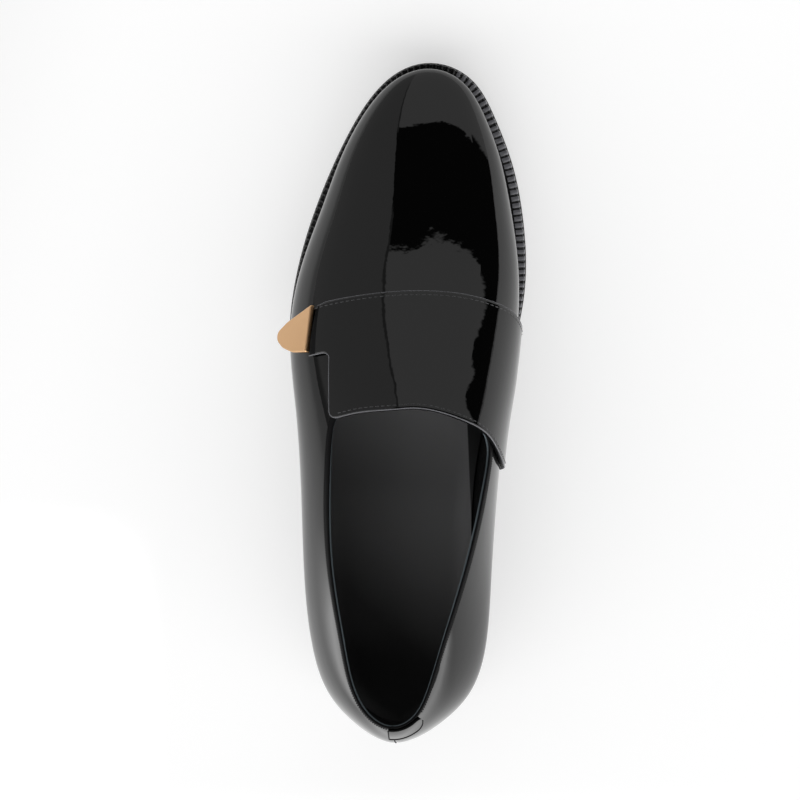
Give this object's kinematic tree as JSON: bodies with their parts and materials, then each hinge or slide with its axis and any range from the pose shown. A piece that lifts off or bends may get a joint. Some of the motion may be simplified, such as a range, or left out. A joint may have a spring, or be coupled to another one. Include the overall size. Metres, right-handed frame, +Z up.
{
  "type": "patent leather loafer",
  "caption": "Left slip-on loafer with an almond toe, ribbed welt, low heel, wide saddle strap and a flat metal strap tip; hollow wall, open at the collar for the foot.",
  "frame": {"origin": "on the floor, under the middle of the shoe's box", "axes": "+Y from heel to toe, +X to the inner (medial) side of the left foot, +Z up"},
  "size_m": [0.098, 0.266, 0.0782],
  "materials": {
    "patent_leather": "black patent leather with a hard clear gloss coat",
    "welt_leather": "black satin welt strip with ribs pressed across it",
    "sole_leather": "black dressed leather sole",
    "heel_stack": "black polished stacked heel",
    "lift_rubber": "matte black moulded rubber",
    "insole_leather": "black satin lining leather",
    "gold_metal": "satin pale gold plating with bright eased edges"
  },
  "bodies": {
    "root": {"outsole": "sole_leather", "welt": "welt_leather", "heel": "heel_stack", "heel_top_lift": "lift_rubber", "insole": "insole_leather", "upper": "patent_leather", "strap": "patent_leather", "strap_tip": "gold_metal", "heel_tab": "patent_leather"}
  },
  "joints": []
}
